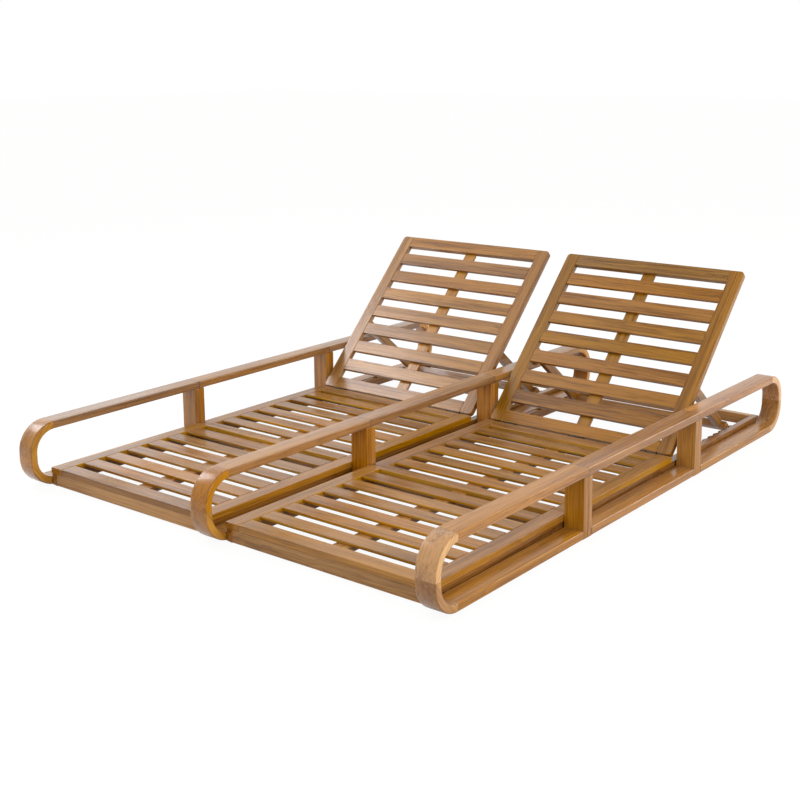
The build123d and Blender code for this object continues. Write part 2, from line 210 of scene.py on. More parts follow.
def slatRowTree(rounding):
    tree, get = newTree("slatRow", "GeometryNodeTree", [
        ("Geometry", "geo"), ("Count", "int", 8), ("Start", "vec"), ("Direction", "vec"),
        ("Pitch", "num", 0.085), ("Length", "num", 0.597), ("Width", "num", 0.053),
        ("Last Width", "num", 0.022), ("Thickness", "num", 0.02), ("Frame Thickness", "num", 0.02),
        ("Turn", "vec"), ("Edge Radius", "num", 0.002), ("Tone", "num", 0.0), ("Seed", "int", 1),
        ("Wood", "mat"), ("Side Painted Light Wood", "mat"), ("Open Start", "num", 0.0),
    ], [("Mesh", "geo")])
    line = put(tree, "GeometryNodeMeshLine", {"Count": get["Count"], "Offset": (0, 0, 0)}).outputs[0]
    index = put(tree, "GeometryNodeInputIndex").outputs[0]
    first = calc(tree, "LESS_THAN", index, 0.5)
    last = calc(tree, "GREATER_THAN", index, calc(tree, "SUBTRACT", get["Count"], 1.5))
    member = calc(tree, "MAXIMUM", last, first)  # the outer slats belong to the frame
    wider = calc(tree, "SUBTRACT", get["Last Width"], get["Width"])
    width = calc(tree, "MULTIPLY_ADD", last, wider, get["Width"])
    spare = calc(tree, "SUBTRACT", get["Frame Thickness"], get["Thickness"])
    thickness = calc(tree, "MULTIPLY_ADD", member, spare, get["Thickness"])
    along = calc(tree, "MULTIPLY_ADD", index, get["Pitch"], calc(tree, "MULTIPLY", width, 0.5))
    face = turned(tree, (0, 0, 1), get["Turn"])
    sink = calcVector(tree, "SCALE", face, calc(tree, "MULTIPLY", thickness, -0.5))
    level = calcVector(tree, "ADD", get["Start"], sink)
    middle = calcVector(tree, "ADD", level, calcVector(tree, "SCALE", get["Direction"], along))
    points = put(tree, "GeometryNodeSetPosition", {"Geometry": line, "Position": middle}).outputs[0]
    size = combine(tree, get["Length"], width, thickness)
    points = remember(tree, points, "boardSize", "FLOAT_VECTOR", size)
    points = remember(tree, points, "boardTurn", "FLOAT_VECTOR", get["Turn"])
    points = remember(tree, points, "boardSeed", "FLOAT", drawSeeds(tree, index, get["Seed"]))
    points = remember(tree, points, "boardTone", "FLOAT", get["Tone"])
    points = remember(tree, points, "boardOpen", "FLOAT", calc(tree, "MULTIPLY", first, get["Open Start"]))
    boards = put(tree, "GeometryNodeGroup", node_tree=rounding)
    feed(tree, boards.inputs["Boards"], points)
    for name in ("Edge Radius", "Wood", "Side Painted Light Wood"):
        feed(tree, boards.inputs[name], get[name])
    put(tree, "NodeGroupOutput", {"Mesh": boards.outputs[0]})
    return tree


def bentBoardsTree():
    # A board's rounded section follows each line; a line's radius narrows it where its end is eased
    tree, get = newTree("bentBoards", "GeometryNodeTree", [
        ("Lines", "geo"), ("Width", "num", 0.062), ("Thickness", "num", 0.024), ("Edge Radius", "num", 0.006),
        ("Even Tone", "num", 0.0), ("Odd Tone", "num", 0.0), ("End Shade", "num", 0.0),
        ("Straight Grain", "num", 0.0), ("Bend Middle", "vec"), ("Seed", "int", 1), ("Wood", "mat"),
        ("Side Painted Light Wood", "mat"),
    ], [("Mesh", "geo")])
    position = put(tree, "GeometryNodeInputPosition").outputs[0]
    index = put(tree, "GeometryNodeInputIndex").outputs[0]
    across = {"Curve": get["Lines"], "Normal": (1, 0, 0)}
    lines = put(tree, "GeometryNodeSetCurveNormal", across, mode="FREE").outputs[0]
    along = put(tree, "GeometryNodeSplineParameter").outputs["Length"]
    lines = remember(tree, lines, "along", "FLOAT", along)
    lines = remember(tree, lines, "boardSeed", "FLOAT", drawSeeds(tree, index, get["Seed"]), domain="CURVE")
    step = calc(tree, "SUBTRACT", get["Odd Tone"], get["Even Tone"])
    tone = calc(tree, "MULTIPLY_ADD", calc(tree, "MODULO", index, 2.0), step, get["Even Tone"])
    lines = remember(tree, lines, "boardTone", "FLOAT", tone, domain="CURVE")
    pinch = calc(tree, "SUBTRACT", recall(tree, "radius", "FLOAT"), 1.0)  # below zero where an end is eased
    shaded = calc(tree, "MULTIPLY_ADD", pinch, get["End Shade"], recall(tree, "boardTone", "FLOAT"))
    lines = remember(tree, lines, "boardTone", "FLOAT", shaded)
    outline = {"Width": get["Width"], "Height": get["Thickness"]}
    section = put(tree, "GeometryNodeCurvePrimitiveQuadrilateral", outline).outputs[0]
    eased = {"Curve": section, "Count": meshing["edgeSteps"], "Radius": get["Edge Radius"]}
    profile = put(tree, "GeometryNodeFilletCurve", eased, mode="POLY").outputs[0]
    profile = remember(tree, profile, "section", "FLOAT_VECTOR", position)
    sweep = {"Curve": lines, "Profile Curve": profile, "Fill Caps": True}
    solid = put(tree, "GeometryNodeCurveToMesh", sweep).outputs[0]
    spot = split(tree, recall(tree, "section", "FLOAT_VECTOR"))
    followed = combine(tree, recall(tree, "along", "FLOAT"), spot["X"], spot["Y"])
    # A bend is sawn from one straight board, so that its grain runs along the chord and is cut by the curve
    place, middle = split(tree, position), split(tree, get["Bend Middle"])
    away = calc(tree, "SUBTRACT", calc(tree, "ABSOLUTE", place["Y"]), middle["Y"])
    rise = calc(tree, "ABSOLUTE", calc(tree, "SUBTRACT", place["Z"], middle["Z"]))
    up, inward = meshing["bendGrain"]
    chord = calc(tree, "MULTIPLY_ADD", rise, up, calc(tree, "MULTIPLY", away, -inward))
    depth = calc(tree, "MULTIPLY_ADD", rise, inward, calc(tree, "MULTIPLY", away, up))
    sawn = combine(tree, chord, spot["X"], depth)
    grain = mixed(tree, "VECTOR", get["Straight Grain"], followed, sawn)
    solid = remember(tree, solid, "boardPlace", "FLOAT_VECTOR", grain)
    smooth = put(tree, "GeometryNodeSetShadeSmooth", {"Geometry": solid}).outputs[0]
    bend = put(tree, "GeometryNodeInputMeshEdgeAngle").outputs["Unsigned Angle"]
    creased = {"Geometry": smooth, "Selection": calc(tree, "GREATER_THAN", bend, meshing["creaseAngle"]),
               "Shade Smooth": False}
    crisp = put(tree, "GeometryNodeSetShadeSmooth", creased, domain="EDGE").outputs[0]
    # The sides get the side wood, painted light where it differs from the wood
    facing = split(tree, put(tree, "GeometryNodeInputNormal").outputs[0])["X"]
    sides = calc(tree, "GREATER_THAN", calc(tree, "ABSOLUTE", facing), meshing["sideFacing"])
    paintBoards(tree, crisp, get, sides)
    return tree


rounding = roundBoardsTree()
trees = {"boardSet": boardSetTree(rounding), "slatRow": slatRowTree(rounding), "bentBoards": bentBoardsTree()}
print("geometry trees ready")


# Pieces from the trees

def addObject(name, data):
    thing = bpy.data.objects.new(name, data)
    bpy.context.scene.collection.objects.link(thing)
    return thing


def freeze(source, name):
    # The evaluated source becomes a plain mesh, and the source goes
    bpy.context.view_layer.update()
    made = bpy.data.meshes.new_from_object(source.evaluated_get(bpy.context.evaluated_depsgraph_get()))
    bpy.data.objects.remove(source)
    made.name = name
    return made


def evenNormals(source):
    source.modifiers.new("even", "WEIGHTED_NORMAL").keep_sharp = True


def bake(data, treeName, values, name):
    # The tree runs on the points or lines; without a side wood for painted light, the sides are in the same
    # wood
    source = addObject(data.name, data)
    modifier = source.modifiers.new(treeName, "NODES")
    modifier.node_group = trees[treeName]
    sockets = modifier.node_group.interface.items_tree
    keys = {socket.name: socket.identifier for socket in sockets if socket.in_out == "INPUT"}
    for key, value in {"Side Painted Light Wood": values["Wood"], **values}.items():
        modifier[keys[key]] = value
    if source.type == "MESH":
        evenNormals(source)
    return addObject(name, freeze(source, name))


def settle(piece, body, slot, *cadNodes):
    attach(piece, body)
    if cadNodes:
        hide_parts(*cadNodes)
    return piece


def board(middle, size, turn, seed, tone=0.0):
    return {"middle": tuple(middle), "size": size, "turn": tuple(turn), "seed": seed, "tone": tone}


def boardSeed(seeds, *counts):
    # The first number, and a step for each count
    return sum((step * count for step, count in zip(seeds[1:], counts)), seeds[0])


def boardSet(name, boards, values, body, slot, *cadNodes):
    mesh = bpy.data.meshes.new(name + "Points")
    mesh.from_pydata([one["middle"] for one in boards], [], [])
    for layer, key in (("boardSize", "size"), ("boardTurn", "turn")):
        flat = [number for one in boards for number in one[key]]
        mesh.attributes.new(layer, "FLOAT_VECTOR", "POINT").data.foreach_set("vector", flat)
    for layer, key in (("boardSeed", "seed"), ("boardTone", "tone")):
        mesh.attributes.new(layer, "FLOAT", "POINT").data.foreach_set("value", [one[key] for one in boards])
    return settle(bake(mesh, "boardSet", values, name), body, slot, *cadNodes)


def slatRow(name, values, body, slot, *cadNodes):
    mesh = bpy.data.meshes.new(name + "Points")
    return settle(bake(mesh, "slatRow", values, name), body, slot, *cadNodes)


def bentBoards(name, lines, values, body, slot, *cadNodes):
    curve = bpy.data.curves.new(name + "Lines", "CURVE")
    curve.dimensions = "3D"
    for points in lines:
        spline = curve.splines.new("POLY")
        spline.points.add(len(points) - 1)
        for spot, (point, size) in zip(spline.points, points):
            spot.co = (*point, 1)
            spot.radius = size
    return settle(bake(curve, "bentBoards", values, name), body, slot, *cadNodes)


def dress(nodeName, material):
    # A solid of the construction that stays gets its material
    slots = nodes[nodeName].data.materials
    slots.clear()
    slots.append(material)


# Wood

# Noises: how fast each changes along, across and through a board, per metre, and how much it counts
noises = {
    "sway": {"scales": (3.0, 9.0, 9.0), "detail": 3.0, "rough": 0.5, "share": 0.07},
    "wobble": {"scales": (7.0, 60.0, 60.0), "detail": 3.0, "rough": 0.5, "share": 2.4},
    "patch": {"scales": (3.0, 30.0, 30.0), "detail": 2.0, "rough": 0.5, "share": 4.0},
    "cloud": {"scales": (1.4, 24.0, 24.0), "detail": 3.0, "rough": 0.55, "share": 2.6},
    "strand": {"scales": (4.0, 210.0, 210.0), "detail": 4.0, "rough": 0.65, "share": 2.8},
    "fibre": {"scales": (16.0, 800.0, 800.0), "detail": 3.0, "rough": 0.6, "share": 0.9},
    "band": {"scales": (3.0, 90.0, 90.0), "detail": 4.0, "rough": 0.6, "share": 7.0},
    "pores": {"scales": (60.0, 2300.0, 2300.0), "detail": 1.0, "rough": 0.5, "share": 6.0},
}
# The pair of numbers that turns a board's seed into each of its draws
draws = {
    "side": (0.731, 0.1), "tilt": (1.913, 0.3), "depth": (0.417, 0.6),
    "level": (0.618, 0.2), "hue": (0.287, 0.7), "richness": (0.853, 0.4),
}
# Where the pith lies beside a board, how a ring darkens and falls back, and how far boards differ
growth = {
    "side": 0.14, "tilt": 0.06, "depth": 0.07, "depthMiddle": 0.045, "late": 2.0, "fall": 8.0,
    "ringMean": 0.3, "mixMiddle": 0.42, "bandStart": -0.7, "poreStart": -0.9, "poreMark": 0.3,
    "tone": 0.12, "hue": 0.007, "richness": 0.1, "tonePaling": -0.1,
}
seedSteps = (1.37, 2.11, 3.73)  # a board's own part of each noise
oilRoughness = {"middle": 0.2, "strand": 0.16, "fibre": 0.14}
relief = {"line": -0.3, "pores": -1.0, "fibre": 0.5}


def woodFigureGroup():
    # Rings round a pith beside each board, crossed by fibres, with the board's own tone
    tree, get = newTree("woodFigure", "ShaderNodeTree", [
        ("Place", "vec"), ("Seed", "num", 1.0), ("Tone", "num", 0.0),
        ("Pale", "col", (0.5, 0.25, 0.06, 1)), ("Deep", "col", (0.3, 0.12, 0.02, 1)),
        ("Streak", "col", (0.12, 0.045, 0.01, 1)), ("Ring Gap", "num", 0.006), ("Figure", "num", 0.5),
        ("Streaks", "num", 0.4), ("Board Change", "num", 0.3),
    ], [("Colour", "col"), ("Roughness", "num"), ("Height", "num")])
    seed = get["Seed"]
    shift = combine(tree, *(calc(tree, "MULTIPLY", seed, step) for step in seedSteps))

    def draw(name, reach, middle):
        chance = calc(tree, "FRACT", calc(tree, "MULTIPLY_ADD", seed, *draws[name]))
        return calc(tree, "MULTIPLY_ADD", calc(tree, "SUBTRACT", chance, 0.5), reach, middle)

    def noise(name):
        look = noises[name]
        vector = calcVector(tree, "ADD", calcVector(tree, "MULTIPLY", get["Place"], look["scales"]), shift)
        inputs = {"Vector": vector, "Scale": 1.0, "Detail": look["detail"], "Roughness": look["rough"]}
        return calc(tree, "SUBTRACT", put(tree, "ShaderNodeTexNoise", inputs).outputs[0], 0.5)

    def weigh(name, value, rest, clamp=False):
        return calc(tree, "MULTIPLY_ADD", value, noises[name]["share"], rest, clamp=clamp)

    spot = split(tree, get["Place"])
    side = calc(tree, "ADD", draw("side", growth["side"], 0.0), weigh("sway", noise("sway"), spot["Y"]))
    tilt = calc(tree, "MULTIPLY", spot["X"], draw("tilt", growth["tilt"], 0.0))
    depth = draw("depth", growth["depth"], growth["depthMiddle"])
    deep = calc(tree, "ADD", calc(tree, "ADD", spot["Z"], tilt), depth)
    ring = calc(tree, "SQRT", calc(tree, "MULTIPLY_ADD", side, side, calc(tree, "MULTIPLY", deep, deep)))
    saw = calc(tree, "FRACT", weigh("wobble", noise("wobble"), calc(tree, "DIVIDE", ring, get["Ring Gap"])))
    late = calc(tree, "POWER", saw, growth["late"])
    falling = calc(tree, "MULTIPLY_ADD", saw, growth["fall"], 1 - growth["fall"], clamp=True)
    line = calc(tree, "MULTIPLY", late, calc(tree, "SUBTRACT", 1.0, falling))
    fibre, strand = noise("fibre"), noise("strand")
    strength = calc(tree, "MULTIPLY", get["Figure"], weigh("patch", noise("patch"), 1.0, clamp=True))
    rings = calc(tree, "SUBTRACT", line, growth["ringMean"])
    mix = calc(tree, "MULTIPLY_ADD", rings, strength, growth["mixMiddle"])
    mix = weigh("strand", strand, weigh("cloud", noise("cloud"), mix))
    plain = mixed(tree, "RGBA", weigh("fibre", fibre, mix, clamp=True), get["Pale"], get["Deep"])
    band = weigh("band", noise("band"), growth["bandStart"], clamp=True)
    pores = weigh("pores", noise("pores"), growth["poreStart"], clamp=True)
    poreMark = calc(tree, "MULTIPLY", pores, growth["poreMark"])
    mark = calc(tree, "MAXIMUM", calc(tree, "MULTIPLY", band, get["Streaks"]), poreMark)
    dark = mixed(tree, "RGBA", mark, plain, get["Streak"])
    level = calc(tree, "MULTIPLY_ADD", get["Tone"], growth["tone"], draw("level", get["Board Change"], 1.0))
    toned = calc(tree, "ABSOLUTE", get["Tone"])
    rich = calc(tree, "MULTIPLY_ADD", toned, growth["tonePaling"], draw("richness", growth["richness"], 1.0))
    tint = put(tree, "ShaderNodeHueSaturation", {
        "Hue": draw("hue", growth["hue"], 0.5), "Saturation": rich, "Value": level, "Color": dark,
    }).outputs[0]
    rough = calc(tree, "MULTIPLY_ADD", strand, oilRoughness["strand"], oilRoughness["middle"])
    rough = calc(tree, "MULTIPLY_ADD", fibre, oilRoughness["fibre"], rough)
    height = calc(tree, "MULTIPLY", fibre, relief["fibre"])
    height = calc(tree, "MULTIPLY_ADD", pores, relief["pores"], height)
    height = calc(tree, "MULTIPLY_ADD", line, relief["line"], height)
    put(tree, "NodeGroupOutput", {"Colour": tint, "Roughness": rough, "Height": height})
    return tree


woodFigure = woodFigureGroup()

woodLooks = {
    "armWood": {
        "Pale": (0.42, 0.178, 0.022, 1), "Deep": (0.22, 0.08, 0.006, 1), "Streak": (0.08, 0.026, 0.004, 1),
        "Ring Gap": 0.009, "Figure": 0.5, "Streaks": 0.55, "Board Change": 0.14,
    },
    "deckWood": {
        "Pale": (0.36, 0.155, 0.021, 1), "Deep": (0.178, 0.067, 0.006, 1), "Streak": (0.065, 0.022, 0.004, 1),
        "Ring Gap": 0.008, "Figure": 0.5, "Streaks": 0.7, "Board Change": 0.34,
    },
    "backWood": {
        "Pale": (0.37, 0.165, 0.024, 1), "Deep": (0.175, 0.068, 0.006, 1), "Streak": (0.07, 0.023, 0.004, 1),
        "Ring Gap": 0.009, "Figure": 0.55, "Streaks": 0.8, "Board Change": 0.26,
    },
    # The right backrest: a darker, more golden copy of the back wood, painted shade where the left one
    # catches the glare
    "rightBackPaintedShadeWood": {
        "Pale": (0.315, 0.134, 0.009, 1), "Deep": (0.145, 0.054, 0.002, 1), "Streak": (0.065, 0.02, 0.002, 1),
        "Ring Gap": 0.009, "Figure": 0.55, "Streaks": 0.8, "Board Change": 0.24,
    },
    "baseWood": {
        "Pale": (0.42, 0.2, 0.05, 1), "Deep": (0.22, 0.092, 0.02, 1), "Streak": (0.06, 0.02, 0.002, 1),
        "Ring Gap": 0.009, "Figure": 0.6, "Streaks": 0.9, "Board Change": 0.2,
    },
    # The slats' long sides: a brighter, more golden copy of the deck wood, painted light in the slots
    "slotPaintedLightWood": {
        "Pale": (0.5, 0.235, 0.014, 1), "Deep": (0.28, 0.115, 0.006, 1), "Streak": (0.1, 0.035, 0.003, 1),
        "Ring Gap": 0.008, "Figure": 0.5, "Streaks": 0.5, "Board Change": 0.3,
    },
    # The stiles' long sides: a brighter, more golden copy of the deck wood, painted light
    "stileSidePaintedLightWood": {
        "Pale": (0.44, 0.2, 0.012, 1), "Deep": (0.23, 0.09, 0.004, 1), "Streak": (0.09, 0.03, 0.002, 1),
        "Ring Gap": 0.008, "Figure": 0.5, "Streaks": 0.7, "Board Change": 0.3,
    },
    # The bends' sides: a brighter copy of the arm wood, painted light
    "bendSidePaintedLightWood": {
        "Pale": (0.58, 0.275, 0.035, 1), "Deep": (0.36, 0.15, 0.012, 1), "Streak": (0.12, 0.045, 0.005, 1),
        "Ring Gap": 0.009, "Figure": 0.5, "Streaks": 0.5, "Board Change": 0.14,
    },
    "railWood": {
        "Pale": (0.30, 0.118, 0.008, 1), "Deep": (0.14, 0.048, 0.002, 1), "Streak": (0.05, 0.015, 0.001, 1),
        "Ring Gap": 0.009, "Figure": 0.7, "Streaks": 0.9, "Board Change": 0.2,
    },
}

bumpiness = {"Strength": 0.35, "Distance": 0.0006}
oiled = {"IOR": 1.45, "Sheen Weight": 0.12, "Sheen Roughness": 0.3}
dull = {**oiled, "IOR": 1.32, "Sheen Weight": 0.0}
calm = {**oiled, "IOR": 1.42, "Sheen Weight": 0.05}
finishes = {"slotPaintedLightWood": dull, "stileSidePaintedLightWood": dull, "rightBackPaintedShadeWood": calm}  # the other woods are oiled

# Boards in the construction's solids are told apart by cells, in which the grain is turned to run along X
alongY = Matrix.Rotation(radians(-90), 3, "Z")
alongProp = alongY @ Matrix.Rotation(lounger["propAngle"], 3, "X")
alongBack = alongY @ Matrix.Rotation(-lounger["backAngle"], 3, "X")
alongX = Matrix.Identity(3)
uncut = 9  # a cell longer than the lounger
solidWoods = {
    "railWood": {"look": "railWood", "turn": alongY, "shift": (-j1, 0, 0), "cell": (1.4, 0.3, uncut)},
    "crossWood": {"look": "baseWood", "turn": alongX, "shift": (0, -j1, 0), "cell": (uncut, 0.25, uncut)},
    "legWood": {"look": "backWood", "turn": alongProp, "shift": (0, 0, 0), "cell": (uncut, 0.3, uncut)},
    "blockWood": {"look": "backWood", "turn": alongBack, "shift": (0, 0, 0), "cell": (uncut, 0.3, uncut)},
}
cellSeeds = (5.1, 17.3, 11.9)


def newMaterial(name):
    material = bpy.data.materials.new(name)
    material.use_nodes = True
    material.node_tree.nodes.clear()
    return material, material.node_tree


def woodMaterial(name, look, solid=None):
    # Boards made here carry their place, seed and tone; in a solid, the cells give place and seed
    material, tree = newMaterial(name)
    figure = put(tree, "ShaderNodeGroup", look, node_tree=woodFigure)
    if solid:
        spot = put(tree, "ShaderNodeTexCoord").outputs["Object"]
        mapping = {"Vector": spot, "Rotation": solid["turn"].to_euler("XYZ"), "Location": solid["shift"]}
        place = put(tree, "ShaderNodeMapping", mapping).outputs[0]
        corner = calcVector(tree, "SNAP", place, solid["cell"])
        feed(tree, figure.inputs["Place"], calcVector(tree, "SUBTRACT", place, corner))
        feed(tree, figure.inputs["Seed"], calcVector(tree, "DOT_PRODUCT", corner, cellSeeds))
    else:
        for key, output in (("Place", "Vector"), ("Seed", "Fac"), ("Tone", "Fac")):
            attribute = put(tree, "ShaderNodeAttribute", attribute_name="board" + key)
            feed(tree, figure.inputs[key], attribute.outputs[output])
    bump = put(tree, "ShaderNodeBump", {"Height": figure.outputs["Height"], **bumpiness})
    shader = put(tree, "ShaderNodeBsdfPrincipled", {
        "Base Color": figure.outputs["Colour"], "Roughness": figure.outputs["Roughness"],
        "Normal": bump.outputs[0], **finishes.get(name, oiled),
    })
    put(tree, "ShaderNodeOutputMaterial", {"Surface": shader.outputs[0]})
    return material


woods = {name: woodMaterial(name, look) for name, look in woodLooks.items() if name not in solidWoods}
for name, solid in solidWoods.items():
    woods[name] = woodMaterial(name, woodLooks[solid["look"]], solid)
print("wood ready")


# Arms

arm = {
    "width": 0.062, "height": 0.198, "board": 0.024, "edge": 0.004, "post": 0.022, "postEdge": 0.002,
    "bend": 0.088, "bendSteps": 16, "bendMiddle": 0.96,
    # How long an eased end is, how narrow it gets and how much darker
    "jointEase": 0.002, "jointShare": 0.93, "jointShade": 90.0,
    # Tones of the outer top rails and the middle one, and of the lower and upper halves of the bends
    "railTones": {"left": (-2.0, -1.5), "centre": (-1.0, -1.0), "right": (0.1, -0.8)},
    "bendTones": {"left": (-0.2, 0.1), "centre": (-0.4, 0.0), "right": (-1.0, 1.8)},
    "topSeed": 11, "bottomSeed": 21, "bendSeed": 31, "postSeeds": (3.1, 5.7, 1.9),
}
end = lounger["length"] / 2
reach = end - arm["bend"]
post = arm["post"]
postTurn = (Matrix.Rotation(radians(90), 3, "Z") @ Matrix.Rotation(radians(-90), 3, "Y")).to_euler("XYZ")


def bendLine(x, endSign, level):
    # Half a bend: a quarter turn from the rail, and a short upright that ends half a seam from mid-height
    radius = arm["bend"] - arm["board"] / 2
    centreZ = arm["height"] / 2 + level * (arm["height"] / 2 - arm["bend"])
    points = []
    for i in range(arm["bendSteps"] + 1):
        angle = pi / 2 * i / arm["bendSteps"]
        points.append((x, endSign * (reach + radius * sin(angle)), centreZ + level * radius * cos(angle)))
    points.append((x, endSign * (end - arm["board"] / 2), arm["height"] / 2 + level * seam / 2))
    return [(point, 1.0) for point in points]


def railLine(x, low, high, z):
    # An end that meets the next frame is eased, so that the joint shows as a fine groove
    ease, share = arm["jointEase"], arm["jointShare"]
    line = [((x, low, z), 1.0), ((x, high, z), 1.0)]
    if abs(low) < reach:
        line[0] = ((x, low + ease, z), 1.0)
        line.insert(0, ((x, low, z), share))
    if abs(high) < reach:
        line[-1] = ((x, high - ease, z), 1.0)
        line.append(((x, high, z), share))
    return line


def toneInputs(tones):
    return dict(zip(("Even Tone", "Odd Tone"), tones))


topSpans = [(-reach, j1 - seam / 2), (j1 + seam / 2, j2 - seam / 2), (j2 + seam / 2, reach)]
footSpans = [(-reach, j1 - post), (j1 + post, j2 - post), (j2 + post, reach)]
postSpans = [(j1 - post, j1), (j1, j1 + post), (j2 - post, j2), (j2, j2 + post)]
for n, (side, x) in enumerate(lounger["armX"].items()):
    node = side + "_arm_"
    timber = {"Width": arm["width"], "Thickness": arm["board"], "Edge Radius": arm["edge"],
              "End Shade": arm["jointShade"], "Wood": woods["armWood"]}
    topRails = [railLine(x, low, high, arm["height"] - arm["board"] / 2) for low, high in topSpans]
    bentBoards(side + "TopRails", topRails, {
        **timber, **toneInputs(arm["railTones"][side]), "Seed": arm["topSeed"] + n,
    }, "base", "arm_wood", node + "top_rails")
    bottomRails = [railLine(x, low, high, arm["board"] / 2) for low, high in footSpans]
    bentBoards(side + "BottomRails", bottomRails, {
        **timber, "Seed": arm["bottomSeed"] + n,
    }, "base", "arm_wood", node + "bottom_rails")
    bends = [bendLine(x, endSign, level) for endSign in (-1, 1) for level in (-1, 1)]
    bentBoards(side + "Bends", bends, {
        **timber, **toneInputs(arm["bendTones"][side]), "Straight Grain": 1.0, "Seed": arm["bendSeed"] + n,
        "Bend Middle": (0, arm["bendMiddle"], arm["height"] / 2), "Side Painted Light Wood": woods["bendSidePaintedLightWood"],
    # The bends' sides are in a brighter copy of the arm wood, painted light
    }, "base", "arm_wood", node + "bends")
    tall = arm["height"] - arm["board"]
    posts = [board((x, (low + high) / 2, tall / 2), (tall, arm["width"], high - low - seam), postTurn,
                   boardSeed(arm["postSeeds"], n, k)) for k, (low, high) in enumerate(postSpans)]
    boardSet(side + "Posts", posts, {
        "Edge Radius": arm["postEdge"], "Wood": woods["armWood"],
    }, "base", "arm_wood", node + "posts")
print("arms made")


# Decks

deck = {
    "front": -0.933, "rear": 0.3, "half": 0.3475, "stile": 0.049, "board": 0.02, "edge": 0.0025,
    "slats": 8, "slot": 0.032, "jointSlat": 0.022, "slatBoard": 0.009,
    "batten": 0.05, "battenBoard": 0.017, "battenEdge": 0.0015,
    "slatSeeds": (41, 7, 1), "stileSeeds": (17.3, 3.3, 1.7, 0.9), "battenSeeds": (27.1, 1.0, 1.0),
}
lengthwise = (0, 0, radians(90))
wideSlats = deck["slats"] - 1  # the last one, beside the joint, is narrow
inner = deck["half"] - deck["stile"]
stileZ = lounger["deckTop"] - deck["board"] / 2
battenZ = lounger["deckTop"] - deck["slatBoard"] - deck["battenBoard"] / 2

for n, (side, x) in enumerate(lounger["chaiseX"].items()):
    battens = []
    panels = {"Front": (deck["front"], j1 - seam / 2, 1), "Seat": (j1 + seam / 2, deck["rear"], -1)}
    for panel, (low, high, way) in panels.items():
        # Way is 1 where the slats run from the front to the joint, and -1 where they run from the rear
        node = side + "_" + panel.lower() + "_deck_"
        length = high - low
        width = (length - deck["jointSlat"] - wideSlats * deck["slot"]) / wideSlats
        slatRow(side + panel + "Slats", {
            "Count": deck["slats"], "Start": (x, low if way == 1 else high, lounger["deckTop"]),
            "Direction": (0, way, 0), "Pitch": width + deck["slot"], "Length": 2 * inner, "Width": width,
            "Last Width": deck["jointSlat"], "Thickness": deck["slatBoard"], "Frame Thickness": deck["board"],
            "Turn": (0, 0, 0), "Edge Radius": deck["edge"], "Seed": boardSeed(deck["slatSeeds"], n, way),
            # The slats' long sides are in a brighter copy of the deck wood, painted light
            "Wood": woods["deckWood"], "Side Painted Light Wood": woods["slotPaintedLightWood"], "Open Start": float(way == 1),
        }, "base", "deck_wood", node + "slats")
        stiles = []
        for k, hand in enumerate((-1, 1)):
            middle = (x + hand * (inner + deck["half"]) / 2, (low + high) / 2, stileZ)
            seed = boardSeed(deck["stileSeeds"], n, k, way)
            stiles.append(board(middle, (length, deck["stile"], deck["board"]), lengthwise, seed))
        boardSet(side + panel + "Stiles", stiles, {
            # The stiles' long sides are in a brighter copy of the deck wood, painted light
            "Edge Radius": deck["edge"], "Wood": woods["deckWood"], "Side Painted Light Wood": woods["stileSidePaintedLightWood"],
        }, "base", "deck_wood", node + "stiles")
        # The batten lies between the outer slats, and draws its seed from where it starts
        front, rear = (width, deck["jointSlat"]) if way == 1 else (deck["jointSlat"], width)
        low, high = low + front, high - rear
        size = (high - low, deck["batten"], deck["battenBoard"])
        seed = boardSeed(deck["battenSeeds"], low, n)
        battens.append(board((x, (low + high) / 2, battenZ), size, lengthwise, seed))
    boardSet(side + "Battens", battens, {
        "Edge Radius": deck["battenEdge"], "Wood": woods["baseWood"],
    }, "base", "base_wood", side + "_deck_battens")
    dress(side + "_side_rails", woods["railWood"])
    dress(side + "_ratchet_strips", woods["railWood"])
    dress(side + "_cross_rails", woods["crossWood"])
print("decks made")


# Backrests

back = {
    "start": 0.0033, "length": 0.712, "half": 0.339, "stile": 0.048, "board": 0.0195, "corner": 0.012,
    "cornerSteps": 6, "edge": 0.002, "topRail": 0.046, "bottomRail": 0.045, "slats": 7, "slat": 0.049,
    "slatBoard": 0.013, "batten": 0.047, "battenBoard": 0.009, "battenEdge": 0.0015,
    # The right backrest is in a darker copy of the back wood, painted shade
    "woods": {"left": "backWood", "right": "rightBackPaintedShadeWood"}, "tones": {"left": -0.5, "right": -0.3},
    "slatSeed": 61, "railSeeds": {"Top": (5.3, 2.6), "Bottom": (9.8, 2.6)}, "stileSeeds": (13.7, 19.2),
    "battenSeed": 23.9,
}
lean = Matrix.Rotation(lounger["backAngle"], 4, "X")
leanTurn = (lounger["backAngle"], 0, 0)
battenTurn = (lean.to_3x3() @ Matrix.Rotation(radians(90), 3, "Z")).to_euler("XYZ")


